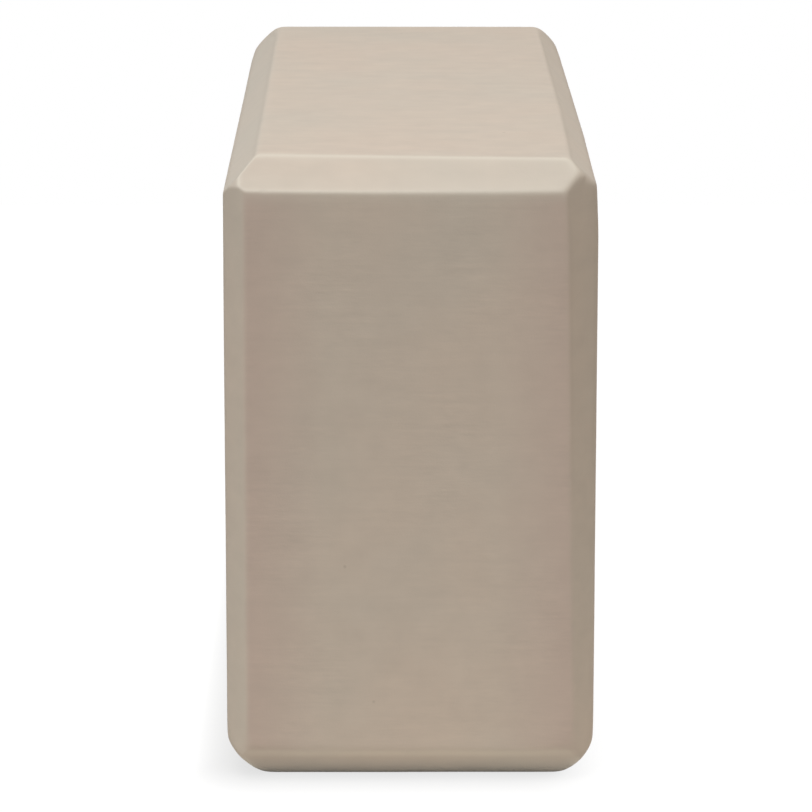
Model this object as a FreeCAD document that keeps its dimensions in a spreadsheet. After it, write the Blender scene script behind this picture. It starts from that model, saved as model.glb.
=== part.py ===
import FreeCAD, Part
import os
import Sketcher

# Yoga block: a slab of closed-cell foam, bevelled along all of its edges, with the arrises softened.
# Millimetres, +Z up, origin at the middle of the base. The block stands on a long narrow side, so that
# X is its thickness, Y its length and Z its height.

# Driving dimensions, in millimetres. Each bevel is what it takes off both of the faces that meet there.
DIMENSIONS = {
    "block_length": 228.6,  # end to end, along Y
    "block_height": 152.4,  # from the base to the top, along Z
    "block_thickness": 88.9,  # of the foam slab, along X
    "long_bevel": 7.0,  # on the edges that run with Y
    "cross_bevel": 7.2,  # on the edges that run with X
    "upright_bevel": 6.0,  # on the edges that run with Z
    "arris_radius": 2.5,  # softening of every arris that the bevels leave
}

# The point numbers and the origin's number that a sketch constraint refers to.
START, END = 1, 2
ORIGIN = -1

CUBIC_MM_PER_LITRE = 1e6

doc = FreeCAD.newDocument("yoga_block")


def fill_sheet():
    """The driving dimensions, one to a row, each under its own alias."""
    sheet = doc.addObject("Spreadsheet::Sheet", "Dimensions")
    for row, (name, size) in enumerate(DIMENSIONS.items(), start=1):
        sheet.set(f"A{row}", name)
        sheet.set(f"B{row}", str(size))
        sheet.setAlias(f"B{row}", name)
    doc.recompute()


def cell(name):
    """The expression that reads one driving dimension from the sheet."""
    return f"Dimensions.{name}"


def new_sketch(body, name, role):
    """An empty sketch on one of the body's own origin planes."""
    sketch = body.newObject("Sketcher::SketchObject", name)
    plane = next(feature for feature in body.Origin.OriginFeatures if feature.Role == role)
    sketch.AttachmentSupport = (plane, "")
    sketch.MapMode = "FlatFace"
    return sketch


def draw_loop(sketch, corners):
    """Lines through the corners, joined end to end into a closed loop."""
    points = [FreeCAD.Vector(u, v, 0) for u, v in corners]
    ends = points[1:] + points[:1]
    lines = [sketch.addGeometry(Part.LineSegment(a, b)) for a, b in zip(points, ends)]
    for line, following in zip(lines, lines[1:] + lines[:1]):
        sketch.addConstraint(Sketcher.Constraint("Coincident", line, END, following, START))
    return lines


def bind(sketch, expression, *measured):
    """Holds a distance in a sketch at an expression of the driving dimensions."""
    distance = float(sketch.evalExpression(expression))
    number = sketch.addConstraint(Sketcher.Constraint(*measured, distance))
    sketch.setExpression(f"Constraints[{number}]", expression)


def cut_blank(body, length, height, thickness):
    """The square-edged blank: the block's broad side, as thick as the slab it is cut from."""
    sketch = new_sketch(body, "BroadSide", "YZ_Plane")
    half_length = sketch.evalExpression(length) / 2
    half_height = sketch.evalExpression(height) / 2
    lower, rear, upper, front = draw_loop(
        sketch,
        (
            (-half_length, -half_height),
            (half_length, -half_height),
            (half_length, half_height),
            (-half_length, half_height),
        ),
    )
    for line in (lower, upper):
        sketch.addConstraint(Sketcher.Constraint("Horizontal", line))
    for line in (front, rear):
        sketch.addConstraint(Sketcher.Constraint("Vertical", line))
    sketch.addConstraint(Sketcher.Constraint("Symmetric", lower, START, upper, START, ORIGIN, START))
    bind(sketch, length, "DistanceX", lower, START, lower, END)
    bind(sketch, height, "DistanceY", rear, START, rear, END)

    blank = body.newObject("PartDesign::Pad", "Blank")
    blank.Profile = sketch
    blank.SideType = "Symmetric"
    blank.setExpression("Length", thickness)
    doc.recompute()


def bevel_edges(body, name, role, width, height, bevel):
    """Cuts a 45 degree bevel along the four edges that stand square to an origin plane.

    The width and height are the blank's in that plane, and the offcut of each edge is a triangle whose
    two equal sides are the bevel.
    """
    before = body.Shape.Volume
    sketch = new_sketch(body, name + "Offcuts", role)
    reach = sketch.evalExpression(bevel)
    for side in (-1, 1):
        for level in (-1, 1):
            edge = (f"{side} * {width} / 2", f"{level} * {height} / 2")
            u, v = (sketch.evalExpression(place) for place in edge)
            offcut = ((u, v), (u - side * reach, v), (u, v - level * reach))
            base, _, rise = draw_loop(sketch, offcut)
            sketch.addConstraint(Sketcher.Constraint("Horizontal", base))
            sketch.addConstraint(Sketcher.Constraint("Vertical", rise))
            sketch.addConstraint(Sketcher.Constraint("Equal", base, rise))
            bind(sketch, edge[0], "DistanceX", ORIGIN, START, base, START)
            bind(sketch, edge[1], "DistanceY", ORIGIN, START, base, START)
            bind(sketch, bevel, "Distance", base)

    cut = body.newObject("PartDesign::Pocket", name)
    cut.Profile = sketch
    cut.Type = "ThroughAll"
    cut.SideType = "Symmetric"
    doc.recompute()
    if cut.Shape.Volume >= before:
        raise RuntimeError(f"{name} cut nothing away")
    return cut


def soften_arrises(body, cut, radius):
    """Rounds every arris of the bevelled block, as a light sanding does."""
    softened = body.newObject("PartDesign::Fillet", "SoftenedArrises")
    softened.Base = (cut, [])
    softened.UseAllEdges = True
    softened.setExpression("Radius", radius)
    doc.recompute()


def make_foam_block():
    """The whole block, one piece of foam, lifted so that its base lies at Z = 0."""
    length = cell("block_length")
    height = cell("block_height")
    thickness = cell("block_thickness")
    body = doc.addObject("PartDesign::Body", "FoamBlock")
    body.Label = "foam_block"
    cut_blank(body, length, height, thickness)
    bevel_edges(body, "LongBevels", "XZ_Plane", thickness, height, cell("long_bevel"))
    bevel_edges(body, "CrossBevels", "YZ_Plane", length, height, cell("cross_bevel"))
    cut = bevel_edges(body, "UprightBevels", "XY_Plane", thickness, length, cell("upright_bevel"))
    soften_arrises(body, cut, cell("arris_radius"))
    body.setExpression("Placement.Base.z", f"{height} / 2")
    doc.recompute()
    return body


def write_parts(bodies):
    """One file for each sub-part, once the whole document is known to be sound."""
    failed = [item.Name for item in doc.Objects if {"Invalid", "Error"} & set(item.State)]
    failed += [body.Label for body in bodies if body.Shape.isNull() or not body.Shape.isValid()]
    if failed:
        raise RuntimeError("not sound: " + ", ".join(failed))
    os.makedirs("parts", exist_ok=True)
    for body in bodies:
        body.Shape.exportStep(os.path.join("parts", body.Label + ".step"))
        box = body.Shape.BoundBox
        litres = body.Shape.Volume / CUBIC_MM_PER_LITRE
        print(f"{body.Label}: {box.XLength:.2f} x {box.YLength:.2f} x {box.ZLength:.2f} mm,"
              f" {len(body.Shape.Faces)} faces, {litres:.4f} litres")


fill_sheet()
write_parts([make_foam_block()])
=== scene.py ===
# %% [markdown]
# # A foam yoga block
# The object is one piece of firm closed-cell foam. It stands on a long narrow side, with an end towards
# the camera. Each of its twelve edges is cut back by a bevel, and the arrises that the bevels leave are
# sanded soft. The frame comes first: it holds the block at its real size, in metres, and everything below
# is measured from it.

# %% The frame
import math

import bpy
from mathutils import Matrix, Vector


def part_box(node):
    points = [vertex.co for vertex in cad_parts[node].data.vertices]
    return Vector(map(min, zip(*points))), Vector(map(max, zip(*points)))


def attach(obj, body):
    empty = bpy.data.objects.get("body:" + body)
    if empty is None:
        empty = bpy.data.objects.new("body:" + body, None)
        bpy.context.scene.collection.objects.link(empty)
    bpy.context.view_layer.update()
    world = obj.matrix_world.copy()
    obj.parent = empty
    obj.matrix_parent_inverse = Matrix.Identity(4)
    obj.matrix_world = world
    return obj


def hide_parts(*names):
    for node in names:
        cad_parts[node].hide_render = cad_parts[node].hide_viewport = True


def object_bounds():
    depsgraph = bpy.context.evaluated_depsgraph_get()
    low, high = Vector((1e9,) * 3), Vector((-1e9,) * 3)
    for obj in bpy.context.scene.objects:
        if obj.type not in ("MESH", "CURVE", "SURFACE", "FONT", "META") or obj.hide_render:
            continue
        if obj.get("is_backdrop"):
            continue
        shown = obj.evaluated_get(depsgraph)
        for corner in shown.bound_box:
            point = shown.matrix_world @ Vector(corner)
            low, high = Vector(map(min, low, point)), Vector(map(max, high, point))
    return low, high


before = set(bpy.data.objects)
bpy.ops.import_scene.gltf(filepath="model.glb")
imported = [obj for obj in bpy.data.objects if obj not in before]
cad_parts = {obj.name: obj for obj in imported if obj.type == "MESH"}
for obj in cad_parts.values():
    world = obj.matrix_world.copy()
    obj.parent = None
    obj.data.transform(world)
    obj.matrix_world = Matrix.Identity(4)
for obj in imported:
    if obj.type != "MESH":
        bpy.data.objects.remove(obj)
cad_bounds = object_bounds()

MM = 0.001

low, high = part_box("foam_block")
size = high - low
half = size / 2
middle = (low + high) / 2


def in_mm(lengths):
    """Lengths in metres as rounded millimetres, to print."""
    return [round(length / MM, 1) for length in lengths]


print("block of", in_mm(size), "mm, its middle at", in_mm(middle))

# %% [markdown]
# ## Formulas as nodes
# The shape and the finishes are worked out by node trees, and a formula is easier to read than a list of
# nodes. So a socket is wrapped in a small class in which a plus sign adds the Math node that adds, and so
# on. Every other node is added by one method, which sets the node's own settings before its sockets.


# %% A socket for formulas
class Wire:
    """A socket that can stand in a formula."""

    def __init__(self, tree, socket):
        self.tree = tree
        self.socket = socket

    def math(self, operation, *values):
        return self.tree.node("ShaderNodeMath", {"operation": operation}, dict(enumerate(values)))

    def output(self, name):
        """Another output of the same node."""
        return Wire(self.tree, self.socket.node.outputs[name])

    def __add__(self, other):
        return self.math("ADD", self, other)

    def __radd__(self, other):
        return self.math("ADD", other, self)

    def __sub__(self, other):
        return self.math("SUBTRACT", self, other)

    def __rsub__(self, other):
        return self.math("SUBTRACT", other, self)

    def __mul__(self, other):
        return self.math("MULTIPLY", self, other)

    def __rmul__(self, other):
        return self.math("MULTIPLY", other, self)

    def __truediv__(self, other):
        return self.math("DIVIDE", self, other)

    def __rtruediv__(self, other):
        return self.math("DIVIDE", other, self)

    def __pow__(self, other):
        return self.math("POWER", self, other)

    def __gt__(self, other):
        return self.math("GREATER_THAN", self, other)

    def __abs__(self):
        return self.math("ABSOLUTE", self)

    def sign(self):
        return self.math("SIGN", self)

    def exponent(self):
        return self.math("EXPONENT", self)

    def logarithm(self):
        return self.math("LOGARITHM", self, math.e)

    def at_least(self, other):
        return self.math("MAXIMUM", self, other)

    def at_most(self, other):
        return self.math("MINIMUM", self, other)

    def between(self, start, end):
        """How far a value has come from start to end, as a share from 0 to 1."""
        return ((self - start) / (end - start)).at_least(0).at_most(1)

    def near(self, place, width):
        """A share that is 1 at a place and falls to 0 at a width from it."""
        return (1 - abs(self - place) / width).at_least(0)


def total(values):
    """The sum of several wires."""
    first, *others = values
    return sum(others, first)


print("Wire stands for a socket in a formula")


# %% A tree that nodes are added to
class Tree:
    """A node tree, filled by one call for each node."""

    def __init__(self, node_tree):
        self.node_tree = node_tree

    def node(self, kind, settings=None, sockets=None):
        """Adds a node, sets its settings, fills its sockets, and gives its first output."""
        made = self.node_tree.nodes.new(kind)
        for name, setting in (settings or {}).items():
            setattr(made, name, setting)
        for name, value in (sockets or {}).items():
            if isinstance(value, Wire):
                self.node_tree.links.new(value.socket, made.inputs[name])
            else:
                made.inputs[name].default_value = value
        shown = [socket for socket in made.outputs if socket.enabled]
        return Wire(self, shown[0]) if shown else None

    def parts(self, vector):
        """The three parts of a vector."""
        x = self.node("ShaderNodeSeparateXYZ", sockets={0: vector})
        return x, x.output("Y"), x.output("Z")

    def vector(self, x, y, z):
        return self.node("ShaderNodeCombineXYZ", sockets={0: x, 1: y, 2: z})

    def grey(self, value):
        """A colour with one value in all of its channels."""
        return self.node("ShaderNodeCombineColor", sockets={0: value, 1: value, 2: value})

    def blend(self, share, first, second, how="MIX"):
        """A mix of two colours, or their product, by a share of the second."""
        settings = {"data_type": "RGBA", "blend_type": how}
        return self.node("ShaderNodeMix", settings, {0: share, 6: first, 7: second})


def emptied(data):
    """The tree of a new material or world, cleared of the nodes it comes with."""
    data.use_nodes = True
    data.node_tree.nodes.clear()
    return Tree(data.node_tree)


print("Tree adds the nodes")

# %% [markdown]
# ## The bevels
# A bevelled box could come from a cube and a Bevel modifier, but then all of its bevels would be alike. On
# the real block each one has its own width, and two of them run out of true along their edge. So each
# bevel is a row of a table: how far it reaches in from the edge along the two axes that it crosses.

# %% How far each bevel reaches
# In millimetres. Left is the side of -X, front is the end of -Y, which faces the camera.
LONG_BEVELS = {
    "base left": (8.4, 8.7),
    "base right": (7.1, 7.9),
    "top left": (7.7, 7.7),
    "top right": (6.4, 6.4),
}
CROSS_BEVELS = {
    "base front": (5.5, 8.1),
    "base rear": (7.2, 7.0),
    "top front": (9.6, 6.88),
    "top rear": (5.6, 6.0),
}
UPRIGHT_BEVELS = {
    "front left": (5.0, 5.6),
    "front right": (6.5, 6.85),
    "rear left": (5.8, 5.6),
    "rear right": (5.2, 5.6),
}
FAMILIES = (
    (LONG_BEVELS, ("X", "Z")),
    (CROSS_BEVELS, ("Y", "Z")),
    (UPRIGHT_BEVELS, ("X", "Y")),
)

REACHES = {}
for family, axes in FAMILIES:
    for name, pair in family.items():
        for axis, reach in zip(axes, pair):
            REACHES[f"{name} bevel along {axis}"] = reach
print(len(REACHES), "reaches of", min(REACHES.values()), "to", max(REACHES.values()), "mm")

# %% Where two bevels run out of true
# What a reach gains for each metre along X or up Z, and, for the bow, times the square of the way along X.
TOP_FRONT_SKEW = -0.07
TOP_FRONT_BOW = -0.285
FRONT_RIGHT_SKEW = 0.018

turned = abs(TOP_FRONT_SKEW) * size.x
print("the top front bevel is", round(turned / MM, 1), "mm wider at its left end than at its right")

# %% [markdown]
# ## The rule for the surface
# Every face and every bevel is a plane, and the surface is where the largest of the distances to those
# planes is nought. A soft maximum blends two planes where they come close, and that blend is the sanded
# arris. The rule works on depths below the faces, so one corner of it serves all eight.


# %% The soft maximum
def soft_maximum(distances, softness):
    """The largest of several distances, blended where they come close, and the share of each in it."""
    most = distances[0]
    for distance in distances[1:]:
        most = most.at_least(distance)
    powers = [((distance - most) / softness).exponent() for distance in distances]
    whole = total(powers)
    return most + softness * whole.logarithm(), [power / whole for power in powers]


print("where two planes meet, the blend lies", round(math.log(2), 2), "of the softness inside both")


# %% The planes of the bevels and of the corners
def bevel_plane(depths, reaches):
    """How far a point lies outside a bevel, and how fast that grows towards each of its two faces."""
    steep = [1 / reach for reach in reaches]
    scale = total(s ** 2 for s in steep) ** -0.5
    return (1 - total(d * s for d, s in zip(depths, steep))) * scale, [s * scale for s in steep]


def corner_plane(depths, reaches, cut, lean):
    """How far a point lies outside the small facet that sanding leaves where three bevels meet.

    The facet lies a cut below the point that all three bevels pass through, square to the lean.
    """
    (long_x, long_z), (cross_y, cross_z), (upright_x, upright_y) = reaches
    over_x = long_x / upright_x
    over_y = cross_y / upright_y
    deep = (over_x + over_y - 1) / (over_x / long_z + over_y / cross_z)
    point = (long_x * (1 - deep / long_z), cross_y * (1 - deep / cross_z), deep)
    scale = total(w ** 2 for w in lean) ** -0.5
    apart = total((p - d) * w for p, d, w in zip(point, depths, lean))
    return apart * scale + cut, [w * scale for w in lean]


def by_corner(first, second, values):
    """One of four values, picked by the side of the middle that a point lies on along two axes."""
    near_near, far_near, near_far, far_far = values
    near = near_near + (far_near - near_near) * first
    far = near_far + (far_far - near_far) * first
    return near + (far - near) * second


print("three bevels and a small facet meet at each of 8 corners")

# %% [markdown]
# ## The grid that is shaped
# Geometry Nodes start from a plain gridded box and move its points on to the surface. The points crowd
# together near the edges, where the arrises need them, and lie further apart on the flat faces. Each point
# moves straight towards the inside of the box, so that no two of their paths cross.

# %% The spacing of the grid
EDGE_ZONE = 13 * MM
EDGE_STEPS = 36
FLAT_STEP = 3 * MM

flat_steps = [round((side - 2 * EDGE_ZONE) / FLAT_STEP) for side in size]
grid_points = [steps + 2 * EDGE_STEPS + 1 for steps in flat_steps]
print("grid points along X, Y and Z:", grid_points)


# %% The gridded box
def crowd_edges(place, half_side, steps):
    """Moves evenly spaced places along one axis so that each edge zone holds EDGE_STEPS of the steps."""
    flat_share = steps / (steps + 2 * EDGE_STEPS)
    share = abs(place) / half_side
    flat = share.at_most(flat_share) * ((half_side - EDGE_ZONE) / flat_share)
    edge = (share - flat_share).at_least(0) * (EDGE_ZONE / (1 - flat_share))
    return place.sign() * (flat + edge)


def gridded_box(tree, position):
    """The box that the block is shaped from, with its middle at the origin."""
    counts = dict(zip(("Vertices X", "Vertices Y", "Vertices Z"), grid_points))
    box = tree.node("GeometryNodeMeshCube", sockets={"Size": size, **counts})
    places = zip(tree.parts(position), half, flat_steps)
    crowded = tree.vector(*(crowd_edges(*place) for place in places))
    return tree.node("GeometryNodeSetPosition", sockets={"Geometry": box, "Position": crowded})


fine_step = EDGE_ZONE / EDGE_STEPS
print("steps of", round(fine_step / MM, 2), "mm at the edges and about", FLAT_STEP / MM, "mm between")

# %% [markdown]
# ## Wear
# No block is as true as its drawing. The sides of this one lean in a little towards the top, the foot is
# rounded, and so are the two top corners at the back. At the front, the left top corner has lost its tip,
# and the right one is rubbed, with the side below it. Sculpting could make all this by hand. Here each place
# is a zone, a share that grows towards a face or a corner, and it changes a depth, a reach or a softness of
# the rule. So the wear stays in step when a size changes.

# %% Where the block is worn
# A zone starts at the first depth below a face and is full at the second.
FOOT_ZONE = (14 * MM, 2 * MM)
SIDE_ZONE = (18 * MM, 6 * MM)
SOLE_ZONE = (6 * MM, 2 * MM)
REAR_ZONE = (22 * MM, 8 * MM)
TIP_ZONE = (16 * MM, 9 * MM)

# How much narrower the long top bevels are at the back, left and right.
REAR_NARROWING = (0.5 * MM, 0.6 * MM)

# How far the rubbed side goes back and down, and which way the facet at the lost tip faces.
RUBBED_REACH = (80 * MM, 18 * MM)
TIP_LEAN = (1.0, 0.7, 1.24)

# How much of the wear of the arrises the mitres between the bevels have.
MITRE_WEAR = 0.5

print("the foot is worn up to", FOOT_ZONE[0] / MM, "mm, the corners at the back to", REAR_ZONE[0] / MM, "mm")

# %% Slow noise
# Features to a metre, and the seed, of the bevels' wandering width.
WANDER = (22.0, 1.0)


def slow_noise(tree, scale, seed, detail=1.0):
    """Noise from about -0.5 to 0.5 that changes slowly over the block."""
    sockets = {"W": seed, "Scale": scale, "Detail": detail}
    return tree.node("ShaderNodeTexNoise", {"noise_dimensions": "4D"}, sockets) - 0.5


print("the bevels' width wanders about every", round(1 / WANDER[0] / MM), "mm")


# %% How deep a point lies
class Surface:
    """The rule at every point of the grid, which the functions below fill in one after another."""

    # Which of X, Y and Z the long, the cross and the upright bevels take from.
    CROSSED = ((0, 2), (1, 2), (0, 1))

    def __init__(self, tree, given, position):
        self.tree = tree
        self.given = given
        self.places = tree.parts(position)
        self.right, self.rear, self.upper = (place > 0 for place in self.places)
        self.left = 1 - self.right
        self.front = 1 - self.rear


def find_depths(surface):
    """How deep the point lies below the three faces that are nearest to it."""
    depths = [side - abs(place) for side, place in zip(half, surface.places)]
    spot = total((d / r) ** 2 for d, r in zip(depths[1:], RUBBED_REACH)) ** 0.5
    rubbed = (1 - spot).at_least(0) * surface.right * surface.front * surface.upper
    leaning = surface.places[2] * (surface.given["Side lean"] / half.z)
    depths[0] = depths[0] - leaning - rubbed * surface.given["Corner wear"]
    surface.depths = depths
    back_corner = depths[1].between(*REAR_ZONE) * depths[2].between(*REAR_ZONE)
    surface.rounded = back_corner * surface.rear * surface.upper


print("a point has a depth below 3 faces")


# %% The bevels that are nearest
def find_reaches(surface):
    """The reaches of the three bevels that are nearest, with what each gains or loses on its way."""
    x, _, z = surface.places
    wander = slow_noise(surface.tree, *WANDER) * surface.given["Bevel wander"]
    left_loss, right_loss = (surface.rounded * loss for loss in REAR_NARROWING)
    gains = {
        "top left bevel along X": 0 - left_loss,
        "top left bevel along Z": 0 - left_loss,
        "top right bevel along X": 0 - right_loss,
        "top right bevel along Z": 0 - right_loss,
        "top front bevel along Y": x * TOP_FRONT_SKEW,
        "top front bevel along Z": x ** 2 * TOP_FRONT_BOW,
        "front right bevel along X": z * FRONT_RIGHT_SKEW,
        "front right bevel along Y": z * FRONT_RIGHT_SKEW,
    }
    reaches = {name: surface.given[name] + wander + gains.get(name, 0) for name in REACHES}
    sides = ((surface.right, surface.upper), (surface.rear, surface.upper), (surface.right, surface.rear))
    surface.reaches = []
    for (family, axes), side in zip(FAMILIES, sides):
        fours = [[reaches[f"{name} bevel along {axis}"] for name in family] for axis in axes]
        surface.reaches.append([by_corner(*side, four) for four in fours])


print("a point is ruled by", len(FAMILIES), "of the 12 bevels")


# %% The planes that a point belongs to
def extra_softness(surface):
    """What wear adds to the softness of the arrises, and what rubbing adds to the mitres at one tip."""
    height = surface.places[2] + half.z
    worn_side = surface.depths[0].between(*SIDE_ZONE).at_least(height.between(*SOLE_ZONE))
    foot = worn_side * height.between(*FOOT_ZONE)
    wear = foot * surface.given["Foot wear"] + surface.rounded * surface.given["Rear wear"]
    near_x, near_y, near_z = (depth.between(*TIP_ZONE) for depth in surface.depths)
    right_tip = near_x * near_y * near_z * surface.right * surface.front * surface.upper
    return wear, right_tip * surface.given["Tip rubbing"]


def find_shares(surface):
    """How far outside the block the point lies, and how much each plane has to do with that."""
    depths = surface.depths
    given = surface.given
    surface.planes = [
        bevel_plane([depths[axis] for axis in axes], pair)
        for axes, pair in zip(surface.CROSSED, surface.reaches)
    ]
    blunt = surface.left * surface.front * surface.upper
    lean = [1 + blunt * (weight - 1) for weight in TIP_LEAN]
    cut = given["Corner cut"] + blunt * given["Tip wear"]
    corner, surface.corner_steep = corner_plane(depths, surface.reaches, cut, lean)

    wear, rubbing = extra_softness(surface)
    mitre_softness = given["Mitre softness"] + wear * MITRE_WEAR + rubbing
    bevel, shares = soft_maximum([distance for distance, _ in surface.planes] + [corner], mitre_softness)
    faces = [0 - depth for depth in depths]
    surface.outside, face_and_bevel = soft_maximum(faces + [bevel], given["Arris softness"] + wear)
    *surface.face_shares, bevel_share = face_and_bevel
    surface.bevel_shares = [bevel_share * share for share in shares]


print("a point belongs to 3 faces, 3 bevels and a corner, each by its share")


# %% The way to the surface
def find_way(surface):
    """Where the point goes, straight inwards, so as to lie on the surface."""
    *along_bevels, tip = surface.bevel_shares
    slopes = list(surface.face_shares)
    for axes, (_, steep), share in zip(surface.CROSSED, surface.planes, along_bevels):
        for axis, slope in zip(axes, steep):
            slopes[axis] = slopes[axis] + share * slope
    slopes = [slope + tip * steep for slope, steep in zip(slopes, surface.corner_steep)]

    beyond = [(EDGE_ZONE - depth).at_least(0) for depth in surface.depths]
    length = total(b ** 2 for b in beyond) ** 0.5
    inward = [b / length for b in beyond]
    step = surface.outside / total(i * s for i, s in zip(inward, slopes))
    moved = (p - p.sign() * i * step for p, i in zip(surface.places, inward))
    surface.moved = surface.tree.vector(*moved)


def whole_surface(tree, given, position):
    """The rule, with everything that is found from it."""
    surface = Surface(tree, given, position)
    for find in (find_depths, find_reaches, find_shares, find_way):
        find(surface)
    return surface


print("a point moves inwards from the outer", EDGE_ZONE / MM, "mm of the box")

# %% [markdown]
# ## What the finish has to know
# The sanding shows on the real block: the bevels are paler than the faces. Painted light lies over that: the
# left bevels and the right of the cross bevels are paler still, some arrises have a pale rim of painted
# highlight, and a fine dark crease of painted shade runs along others. These marks follow the planes, so
# painting them by eye is needless work. The shares of the planes are at hand here, and each mark is worked
# out from them and kept with the points of the mesh, where the material can read it.

# %% How strong the marks are
# How pale each kind of bevel is, and the painted light added on the left, towards the right, and low on the
# left.
LONG_PALE = 1.0
LEFT_PAINTED_LIGHT = 0.35
CROSS_PALE = 0.6
CROSS_PAINTED_LIGHT_SLOPE = 12
UPRIGHT_PALE = 0.3
LEFT_EDGE_PAINTED_LIGHT = 0.35
LEFT_FOOT_PAINTED_LIGHT = 0.45
LEFT_EDGE_LIGHT_ZONE = (4 * MM, 0.5 * MM)
LEFT_FOOT_LIGHT_ZONE = (20 * MM, -60 * MM)

# The pale rims of painted highlight: around the cross bevels, where they meet the end, on the lip and on the
# ledge at the base.
RIM = 4
END_RIM = 0.6
LIP_RIM = 0.3
LEDGE_RIM = 1.1
LIP_ZONE = (half.z - 3 * MM, half.z - 7 * MM)
LEDGE_BAND = (-0.1 * MM, 1.9 * MM)

# The creases of painted shade: up the right of the end, and over its base bevel, where the crease fades to
# the right.
RIGHT_CREASE = 0.7
RIGHT_CREASE_ZONE = (-20 * MM, 20 * MM)
BASE_CREASE = 0.7
BASE_CREASE_SLOPE = 10
BASE_CREASE_BAND = (0.9 * MM, 1.0 * MM)

print("the base crease lies", round(BASE_CREASE_BAND[0] / MM, 1), "mm above its bevel")


# %% The marks of the sanding, with painted light
GROOVE_POWER = 10
GROOVE_GAIN = 28


def groove(share):
    """A narrow band of painted shade just inside the arris of a bevel, found from the bevel's share of the
    surface.
    """
    return share ** GROOVE_POWER * (1 - share) * GROOVE_GAIN


def pale_and_painted_light(surface):
    """How pale sanding has left the bevels, with painted light added on the left and towards the right."""
    x, _, z = surface.places
    lengthwise, cross, upright, _ = surface.bevel_shares
    # Painted light: paler along the left upright arris, low on the left, on the left long bevels, and
    # towards the right of the cross bevels.
    edge = surface.depths[1].between(*LEFT_EDGE_LIGHT_ZONE) * LEFT_EDGE_PAINTED_LIGHT
    low_left_light = surface.left * (edge + z.between(*LEFT_FOOT_LIGHT_ZONE) * LEFT_FOOT_PAINTED_LIGHT)
    long_part = lengthwise * (LONG_PALE + surface.left * LEFT_PAINTED_LIGHT)
    cross_part = cross * (CROSS_PALE + x * CROSS_PAINTED_LIGHT_SLOPE)
    return long_part + cross_part + upright * (UPRIGHT_PALE + low_left_light)


def finish_marks(surface):
    """What the finish reads at each point, by name."""
    x, _, z = surface.places
    broad, end, level = surface.face_shares
    lengthwise, cross, upright, tip = surface.bevel_shares
    over_base = surface.depths[2] - surface.given["base front bevel along Z"]
    front_foot = (1 - surface.upper) * surface.front
    # Painted highlight along the arrises of the cross bevels, on the lip and on the ledge.
    rims = RIM * (level + lengthwise + tip + end * surface.upper * END_RIM)
    lip = surface.upper * z.between(*LIP_ZONE) * LIP_RIM
    ledge = over_base.near(*LEDGE_BAND) * front_foot * LEDGE_RIM
    # Painted shade in fine creases: inside the arrises of the long bevels, up the right of the end and over
    # its base bevel.
    right_crease = groove(upright) * surface.right * z.between(*RIGHT_CREASE_ZONE) * RIGHT_CREASE
    base_line = over_base.near(*BASE_CREASE_BAND) * front_foot * end
    base_crease = base_line * (BASE_CREASE - x * BASE_CREASE_SLOPE)
    squares = total(share ** 2 for share in surface.face_shares + surface.bevel_shares)
    return {
        "broad": broad,
        "end": end,
        "sanded_and_painted_light": pale_and_painted_light(surface),
        "rim_highlight": cross * (rims + lip + ledge),
        "crease": groove(lengthwise) + right_crease + base_crease,
        "arris": (2 - 2 * squares).at_most(1),
    }


print("a crease is strongest where the bevel's share is", round(GROOVE_POWER / (GROOVE_POWER + 1), 2))

# %% [markdown]
# ## The tree
# One Geometry Nodes tree makes the block, with a named input for each size, so that a size can be changed
# without touching the rule. The points are moved several times, because the way along a curved arris is
# found by steps that come closer and closer. At the end the faces are made a little hollow and uneven and
# the arrises get a few nicks, as foam has after some use.

# %% The tree that shapes the block
SETTLING_STEPS = 8

# Features to a metre, the seed and the detail of the hollows, and the first two of the nicks, which are cut
# where their noise is high.
HOLLOWS = (18.0, 2.0, 2.0)
NICKS = (160.0, 3.0)
NICK_NOISE = (0.12, 0.3)


def store(tree, solid, name, value):
    """Keeps a value of each point under a name, for the finish to read."""
    settings = {"data_type": "FLOAT", "domain": "POINT"}
    sockets = {"Geometry": solid, "Name": name, "Value": value}
    return tree.node("GeometryNodeStoreNamedAttribute", settings, sockets)


def roughened(tree, given, solid):
    """The shaped solid with hollows in its faces and nicks in its arrises, lifted to its place."""
    arris = tree.node("GeometryNodeInputNamedAttribute", {"data_type": "FLOAT"}, {"Name": "arris"})
    hollow = (slow_noise(tree, *HOLLOWS) - 0.5) * given["Face wander"]
    nick = slow_noise(tree, *NICKS).between(*NICK_NOISE) * arris * given["Nick depth"]
    normal = tree.node("GeometryNodeInputNormal")
    sunk = tree.node("ShaderNodeVectorMath", {"operation": "SCALE"}, {0: normal, "Scale": hollow - nick})
    lifted = tree.node("ShaderNodeVectorMath", {"operation": "ADD"}, {0: sunk, 1: middle})
    return tree.node("GeometryNodeSetPosition", sockets={"Geometry": solid, "Offset": lifted})


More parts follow.
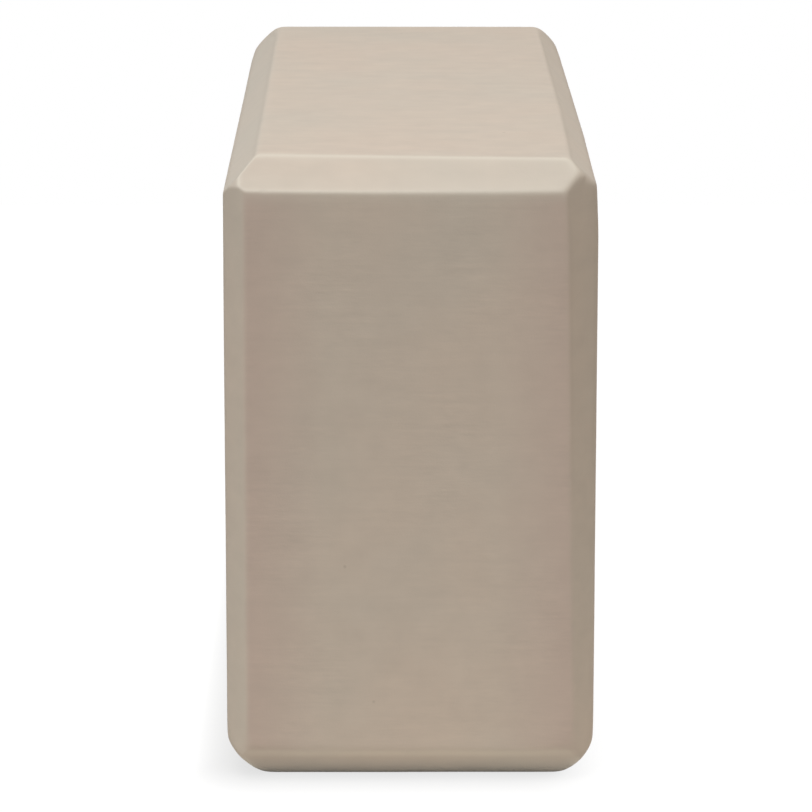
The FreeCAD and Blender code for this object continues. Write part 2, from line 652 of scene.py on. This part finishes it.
def shape_tree(inputs, material):
    """The Geometry Nodes tree, with a named input for each size."""
    group = bpy.data.node_groups.new("Shape of the foam block", "GeometryNodeTree")
    group.is_modifier = True
    group.interface.new_socket("Geometry", in_out="OUTPUT", socket_type="NodeSocketGeometry")
    for name in inputs:
        group.interface.new_socket(name, in_out="INPUT", socket_type="NodeSocketFloat")
    tree = Tree(group)
    source = tree.node("NodeGroupInput")
    given = {name: source.output(name) for name in inputs}
    position = tree.node("GeometryNodeInputPosition")

    solid = gridded_box(tree, position)
    surface = whole_surface(tree, given, position)
    for _ in range(SETTLING_STEPS):
        solid = tree.node("GeometryNodeSetPosition", sockets={"Geometry": solid, "Position": surface.moved})
    for name, value in finish_marks(surface).items():
        solid = store(tree, solid, name, value)
    solid = roughened(tree, given, solid)
    solid = tree.node("GeometryNodeSetShadeSmooth", sockets={"Geometry": solid})
    solid = tree.node("GeometryNodeRealizeInstances", sockets={"Geometry": solid})
    solid = tree.node("GeometryNodeSetMaterial", sockets={"Geometry": solid, "Material": material})
    tree.node("NodeGroupOutput", sockets={"Geometry": solid})
    return group


print("the points settle in", SETTLING_STEPS, "steps")

# %% [markdown]
# ## The foam
# The foam is matte, with a faint shine only where it is seen at a low angle. Cutting leaves fine streaks
# along the faces, the cut cells show as a grain, and a few larger cells are open as dark specks. The tone
# is a beige that turns a little warmer in places and towards the sides of the ends. The sanding leaves the
# bevels paler, with painted light mixed in; painted highlights run along some arrises, and painted shade
# lies in fine creases and on the lowest few millimetres. A photograph as a texture would be quicker, but
# would carry its own light and stop at the sides that it shows. Noise in Object coordinates runs through the
# whole block, as real cells do.

# %% The foam's tones
FOAM_GREY = (0.624, 0.543, 0.452, 1.0)
FOAM_WARM = (0.642, 0.539, 0.443, 1.0)
FOAM_BORDER = (0.596, 0.468, 0.393, 1.0)
FOAM_PALE = (0.71, 0.645, 0.54, 1.0)
# The tone of the painted highlight on the rims.
FOAM_RIM_HIGHLIGHT = (0.78, 0.71, 0.60, 1.0)
FOAM_PORE = (0.34, 0.27, 0.21, 1.0)

# What the foam is multiplied by for the painted shade in the creases and at its foot.
CREASE_SHADE = (0.945, 0.94, 0.935, 1.0)
FOOT_PAINTED_SHADE = (0.81, 0.845, 0.89, 1.0)

# Where the border of the ends begins and is full, out from the middle, and the same for the paler strip at
# the top of the ends and for the painted shade at the foot, up from the table.
BORDER_ZONE = (20 * MM, 43 * MM)
TOP_STRIP_ZONE = (142 * MM, 146 * MM)
PAINTED_FOOT_SHADE_ZONE = (7.5 * MM, 2.5 * MM)

# How far the foam goes over to the pale tone on the bevels, which carries some painted light, to the tone of
# the painted highlight on the rims and to the open cells' tone, and to the pale tone in the strip.
SANDED_AND_PAINTED_PALE = 0.33
RIM_HIGHLIGHT_PALE = 0.7
PORE_DARK = 0.35
TOP_STRIP_PALE = 0.35

print("tones from", FOAM_PORE[:3], "in the open cells to", FOAM_RIM_HIGHLIGHT[:3], "on the rims")

# %% The foam's scales
# Features to a metre.
MOTTLE_SCALE = 28.0
CLOUD_SCALE = 150.0
PATCH_SCALE = 45.0
GRAIN_SCALE = 2400.0
CELL_SCALE = 130.0

# Streaks: features to a metre, how far they are drawn out, and their slant in degrees.
FINE_STREAKS = (1500.0, 0.2, 5)
LONG_STREAKS = (800.0, 0.06, 4)
SLANT_STREAKS = (260.0, 0.35, 20)
SLANT_GAIN = 1.4

# The streaks are weakest outside their patches, and a cell is open where its own random number is high.
STREAK_LEAST = 0.4
PATCH_NOISE = (-0.1, 0.15)
OPEN_CELLS = 0.82
CELL_EDGE = (0.02, 0.07)

print("about", round((1 - OPEN_CELLS) * 100), "in 100 of the larger cells are open")


# %% The foam's pattern
class Pattern:
    """The streaks, the grain and the open cells of the foam, at every point of it."""

    def __init__(self, tree):
        self.tree = tree
        self.place = tree.node("ShaderNodeTexCoord").output("Object")
        self.broad = self.mark("broad")
        self.end = self.mark("end")
        self.mottle = self.noise(MOTTLE_SCALE)
        self.cloud = self.noise(CLOUD_SCALE)
        self.grain = self.noise(GRAIN_SCALE, detail=1.0)
        self.streak = self.all_streaks()
        self.pore = self.open_cells()

    def mark(self, name):
        """A value that the mesh keeps under a name."""
        return self.tree.node("ShaderNodeAttribute", {"attribute_name": name}).output("Fac")

    def noise(self, scale, stretch=(1, 1, 1), turn=(0, 0, 0), detail=2.0):
        """Noise from about -0.5 to 0.5, drawn out along the axes whose stretch is small."""
        sockets = {"Vector": self.place, "Scale": stretch, "Rotation": turn}
        mapped = self.tree.node("ShaderNodeMapping", sockets=sockets)
        sockets = {"Vector": mapped, "Scale": scale, "Detail": detail}
        return self.tree.node("ShaderNodeTexNoise", sockets=sockets) - 0.5

    def streaks(self, kind, along, around):
        """Streaks of one kind along an axis, turned a little around another."""
        scale, drawn, slant = kind
        stretch = [drawn if axis == along else 1 for axis in "XYZ"]
        turn = [math.radians(slant) if axis == around else 0 for axis in "XYZ"]
        return self.noise(scale, stretch, turn)

    def all_streaks(self):
        """Cutting streaks: across the ends, along the broad sides, and slanting on the rest."""
        across = self.streaks(FINE_STREAKS, "X", "Y") + self.streaks(LONG_STREAKS, "X", "Y")
        along = self.streaks(FINE_STREAKS, "Y", "X") + self.streaks(LONG_STREAKS, "Y", "X")
        slant = self.streaks(SLANT_STREAKS, "X", "Z") * SLANT_GAIN
        strength = STREAK_LEAST + self.noise(PATCH_SCALE).between(*PATCH_NOISE)
        return slant + ((along - slant) * self.broad + (across - slant) * self.end) * strength

    def open_cells(self):
        """A few larger cells, cut open."""
        cells = self.tree.node("ShaderNodeTexVoronoi", sockets={"Vector": self.place, "Scale": CELL_SCALE})
        chosen = self.tree.parts(cells.output("Color"))[0] > OPEN_CELLS
        return (1 - cells.between(*CELL_EDGE)) * chosen


print("the pattern runs through the block in Object coordinates")


# %% The foam's colour
# How strongly each part of the pattern changes the tone, and where the mottle turns it warm.
TONE_CHANGES = {"mottle": 0.05, "cloud": 0.1, "streak": 0.08, "grain": 0.02}
WARM_MOTTLE = (-0.2, 0.2)


def weighed(pattern, weights):
    """Several parts of the pattern, each times its weight, in one sum."""
    return total(getattr(pattern, name) * weight for name, weight in weights.items())


def foam_colour(tree, pattern):
    """The colour of the foam, from its own tone to what the sanding has left on it."""
    x, _, z = tree.parts(pattern.place)
    tone = tree.blend(pattern.mottle.between(*WARM_MOTTLE), FOAM_GREY, FOAM_WARM)
    tone = tree.blend(abs(x).between(*BORDER_ZONE) * pattern.end, tone, FOAM_BORDER)
    tone = tree.blend(1.0, tone, tree.grey(1 + weighed(pattern, TONE_CHANGES)), "MULTIPLY")
    top_strip = pattern.end * z.between(*TOP_STRIP_ZONE) * TOP_STRIP_PALE
    # Pale from the sanding, with painted light mixed in.
    tone = tree.blend(pattern.mark("sanded_and_painted_light") * SANDED_AND_PAINTED_PALE + top_strip, tone, FOAM_PALE)
    # Painted highlight on the rims.
    tone = tree.blend(pattern.mark("rim_highlight") * RIM_HIGHLIGHT_PALE, tone, FOAM_RIM_HIGHLIGHT)
    # Painted shade in the creases.
    tone = tree.blend(pattern.mark("crease"), tone, CREASE_SHADE, "MULTIPLY")
    # Painted shade: the lowest few millimetres of the foam are darkened towards the table.
    tone = tree.blend(z.between(*PAINTED_FOOT_SHADE_ZONE), tone, FOOT_PAINTED_SHADE, "MULTIPLY")
    return tree.blend(pattern.pore * PORE_DARK, tone, FOAM_PORE)


print("the tone changes with", ", ".join(TONE_CHANGES))

# %% The foam's material
FOAM_ROUGHNESS = 0.66
ROUGHNESS_CHANGES = {"grain": 0.08, "streak": 0.06}
FOAM_IOR = 1.45
RELIEF = {"streak": 0.5, "grain": 0.5, "pore": -1}
RELIEF_STRENGTH = 0.4
RELIEF_DEPTH = 0.1 * MM


def foam_material():
    """Matte foam with streaks, grain, open cells and the marks of its sanding."""
    material = bpy.data.materials.new("Beige foam")
    tree = emptied(material)
    pattern = Pattern(tree)
    relief = {"Strength": RELIEF_STRENGTH, "Distance": RELIEF_DEPTH, "Height": weighed(pattern, RELIEF)}
    looks = {
        "Base Color": foam_colour(tree, pattern),
        "Roughness": FOAM_ROUGHNESS + weighed(pattern, ROUGHNESS_CHANGES),
        "Normal": tree.node("ShaderNodeBump", sockets=relief),
        "IOR": FOAM_IOR,
    }
    surface = tree.node("ShaderNodeBsdfPrincipled", sockets=looks)
    tree.node("ShaderNodeOutputMaterial", sockets={"Surface": surface})
    return material


foam = foam_material()
print("foam made of", len(foam.node_tree.nodes), "nodes")

# %% [markdown]
# ## The block
# Now the tree is run, once, with the sizes of this block. A modifier could stay on the object, but other
# tools read only plain meshes, so the result is kept as one and the modifier goes.

# %% The sizes that the tree is given
SIZES = {
    "Arris softness": 0.28 * MM,
    "Mitre softness": 0.15 * MM,
    "Corner cut": 0.35 * MM,
    "Foot wear": 0.85 * MM,
    "Corner wear": 0.8 * MM,
    "Rear wear": 0.45 * MM,
    "Tip wear": 0.35 * MM,
    "Tip rubbing": 0.3 * MM,
    "Side lean": 0.17 * MM,
    "Bevel wander": 0.35 * MM,
    "Face wander": 0.2 * MM,
    "Nick depth": 0.3 * MM,
}
SIZES.update((name, reach * MM) for name, reach in REACHES.items())
print("the tree is given", len(SIZES), "sizes")


# %% Shape the block
def shaped_mesh(name, sizes, material):
    """Runs the tree on an empty mesh and keeps the result as a plain mesh with one material."""
    holder = bpy.data.objects.new(name, bpy.data.meshes.new(name))
    bpy.context.scene.collection.objects.link(holder)
    modifier = holder.modifiers.new("Shape", "NODES")
    modifier.node_group = shape_tree(sizes, material)
    for item in modifier.node_group.interface.items_tree:
        if item.in_out == "INPUT":
            modifier[item.identifier] = sizes[item.name]
    evaluated = holder.evaluated_get(bpy.context.evaluated_depsgraph_get())
    mesh = bpy.data.meshes.new_from_object(evaluated)
    holder.modifiers.remove(modifier)
    mesh.materials.clear()
    mesh.materials.append(material)
    mesh.polygons.foreach_set("material_index", [0] * len(mesh.polygons))
    holder.data = mesh
    return holder


block = shaped_mesh("block_of_foam", SIZES, foam)
marks = [item.name for item in block.data.attributes if item.data_type == "FLOAT"]
print("block of", len(block.data.polygons), "faces,", in_mm(block.dimensions), "mm")
print("marks kept with its points:", ", ".join(marks))

# %% The block in the frame
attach(block, "root")
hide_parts("foam_block")
print("block_of_foam rides on root in place of foam_block")

# %% [markdown]
# ## The table
# The photograph shows the block on plain white, with a soft shade close to its foot. A small white table
# stands in for that. Its light reaches the foot of the block more than the top, and so the end is a little
# brighter downwards. The bevels of the base darken quickly towards it, more than the shade of the block
# alone would make them, so a painted shade darkens the table just under the block. Much light would be
# needed to show a table as pure white, so the camera is shown the white directly, with the soft shade taken
# from it.

# %% The table's own white
TABLE_WHITE = (0.85, 0.80, 0.735, 1)
# The painted shade that darkens the table just under the block.
TABLE_PAINTED_SHADE = (0.25, 0.24, 0.23, 1)
FOOT_PRINT = (half.x - 8 * MM, half.y - 6 * MM)
FOOT_SHADE = 6 * MM


def table_matte(tree):
    """The white that lights the block, with painted shade just under it."""
    x, y, _ = tree.parts(tree.node("ShaderNodeTexCoord").output("Object"))
    apart = [(abs(place) - reach).at_least(0) for place, reach in zip((x, y), FOOT_PRINT)]
    away = total(a ** 2 for a in apart) ** 0.5
    dim = tree.node("ShaderNodeBsdfDiffuse", sockets={"Color": TABLE_PAINTED_SHADE})
    white = tree.node("ShaderNodeBsdfDiffuse", sockets={"Color": TABLE_WHITE})
    return tree.node("ShaderNodeMixShader", sockets={0: away.between(0, FOOT_SHADE), 1: dim, 2: white})


print("the table is dim under the block and up to", FOOT_SHADE / MM, "mm from where it stands")

# %% What the camera is shown of the table
# How much of what it sees is white, how white that is next to the block, and what open space adds.
TABLE_GLOW = 0.96
CONTACT_WHITE = 0.71
OPEN_WHITE = 0.34

# How far the soft shade reaches, and the way in which it looks for open space: leaning to the right, so that
# the shade is darker on the left of the block.
CONTACT_REACH = 13 * MM
CONTACT_LEAN = (0.7, 0.0, 0.71)
CONTACT_SAMPLES = 16


def seen_share(tree):
    """1 for what the camera sees, directly, in a reflection or through something, and 0 for other light."""
    ray = tree.node("ShaderNodeLightPath")
    return ray.at_least(ray.output("Is Glossy Ray")).at_least(ray.output("Is Transmission Ray"))


def table_material():
    """A table that shows the camera white and its own soft shade, and a little of the light on it."""
    material = bpy.data.materials.new("White table")
    tree = emptied(material)
    # This node looks along its Normal only when a node is linked there.
    sockets = {"Distance": CONTACT_REACH, "Normal": tree.vector(*CONTACT_LEAN)}
    settings = {"samples": CONTACT_SAMPLES}
    open_share = tree.node("ShaderNodeAmbientOcclusion", settings, sockets).output("AO")
    shown = tree.grey(CONTACT_WHITE + OPEN_WHITE * open_share)
    glow = tree.node("ShaderNodeEmission", sockets={"Color": shown})
    sockets = {0: seen_share(tree) * TABLE_GLOW, 1: table_matte(tree), 2: glow}
    surface = tree.node("ShaderNodeMixShader", sockets=sockets)
    tree.node("ShaderNodeOutputMaterial", sockets={"Surface": surface})
    return material


print("the soft shade reaches", CONTACT_REACH / MM, "mm")

# %% The white table
TABLE_REACH = 0.62


def make_table():
    """A square sheet at the height of the base, declared as part of the stage."""
    mesh = bpy.data.meshes.new("table")
    r = TABLE_REACH
    mesh.from_pydata([(-r, -r, 0), (r, -r, 0), (r, r, 0), (-r, r, 0)], [], [(0, 1, 2, 3)])
    mesh.materials.append(table_material())
    made = bpy.data.objects.new("table", mesh)
    bpy.context.scene.collection.objects.link(made)
    made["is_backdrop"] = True
    return made


table = make_table()
print("table of", [round(side, 2) for side in table.dimensions[:2]], "m")

# %% [markdown]
# ## The surroundings
# Behind the block there is only white. A backdrop could stand there, but it would throw light of its own on
# the block. The world does it without: it is white to the camera and in reflections, where it gives the
# foam its faint shine, and black to all other light.


# %% White surroundings
def white_surroundings():
    """A world that is white where it is seen and gives no other light."""
    world = bpy.data.worlds.new("White surroundings")
    tree = emptied(world)
    background = tree.node("ShaderNodeBackground", sockets={"Color": tree.grey(seen_share(tree))})
    tree.node("ShaderNodeOutputWorld", sockets={"Surface": background})
    return world


bpy.context.scene.world = white_surroundings()
print("the surroundings are white to the camera")

# %% [markdown]
# ## Light
# The top of the block and the bevel in front are bright, the end is darker, and the left bevels are lighter
# than the right ones. So the main light hangs high up, in front and to the left, and a weaker and warmer one
# at the right keeps that side from going grey. Both are large, as a studio's soft boxes are, and so their
# shadows have no hard edge.

# %% Lights
# Degrees around from the front and up, width in metres, watts, colour.
LIGHTS = {
    "key_light": (-26, 65, 1.0, 41.5, (0.982, 1.0, 1.015)),
    "right_light": (90, 38, 1.0, 8.8, (1.0, 0.875, 0.77)),
}
LIGHT_DISTANCE = 2.2

for name, (around, up, width, watts, colour) in LIGHTS.items():
    light = bpy.data.lights.new(name, "AREA")
    light.shape = "SQUARE"
    light.size = width
    light.energy = watts
    light.color = colour
    lamp = bpy.data.objects.new(name, light)
    turn = Matrix.Rotation(math.radians(around), 3, "Z") @ Matrix.Rotation(math.radians(-up), 3, "X")
    direction = turn @ Vector((0, -1, 0))
    lamp.location = middle + direction * LIGHT_DISTANCE
    lamp.rotation_euler = direction.to_track_quat("Z", "Y").to_euler()
    lamp.visible_camera = False
    bpy.context.scene.collection.objects.link(lamp)
    print(name, "at", [round(c, 2) for c in lamp.location], "m")

# %% [markdown]
# ## Camera
# The photograph shows the end almost square on and the top drawn together towards the back. Its straight
# edges were measured, and the camera's place, its angles and its lens are those that bring the block's edges
# on to them. That is surer than moving a camera by eye, because a longer lens from further away would
# change the shape of the top.

# %% Camera
CAMERA_PLACE = Vector((-6.86, -966.64, 307.59)) * MM
CAMERA_TURN = math.radians(-0.3817)
CAMERA_TILT = math.radians(-14.0533)
CAMERA_ROLL = math.radians(0.0836)
CAMERA_LENS = 165.06
CAMERA_SENSOR = 36

camera = bpy.data.objects.new("camera", bpy.data.cameras.new("camera"))
camera.data.lens = CAMERA_LENS
camera.data.sensor_width = CAMERA_SENSOR
camera.matrix_world = (
    Matrix.Translation(CAMERA_PLACE)
    @ Matrix.Rotation(CAMERA_TURN, 4, "Z")
    @ Matrix.Rotation(math.pi / 2 + CAMERA_TILT, 4, "X")
    @ Matrix.Rotation(CAMERA_ROLL, 4, "Z")
)
bpy.context.scene.collection.objects.link(camera)
bpy.context.scene.camera = camera
bpy.context.scene.view_settings.view_transform = "Standard"
print("camera", round((CAMERA_PLACE - middle).length, 2), "m from the middle of the block")

# %% [markdown]
# ## The size once more
# The frame's box was measured before anything was added to it, and it is measured again now. The two boxes
# are written down next to each other, to show that the finished block has kept its size.

# %% Size
boxes = {"cad": cad_bounds, "visual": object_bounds()}
for name, (start, end) in boxes.items():
    print(name, "box of", in_mm(Vector(end) - Vector(start)), "mm")
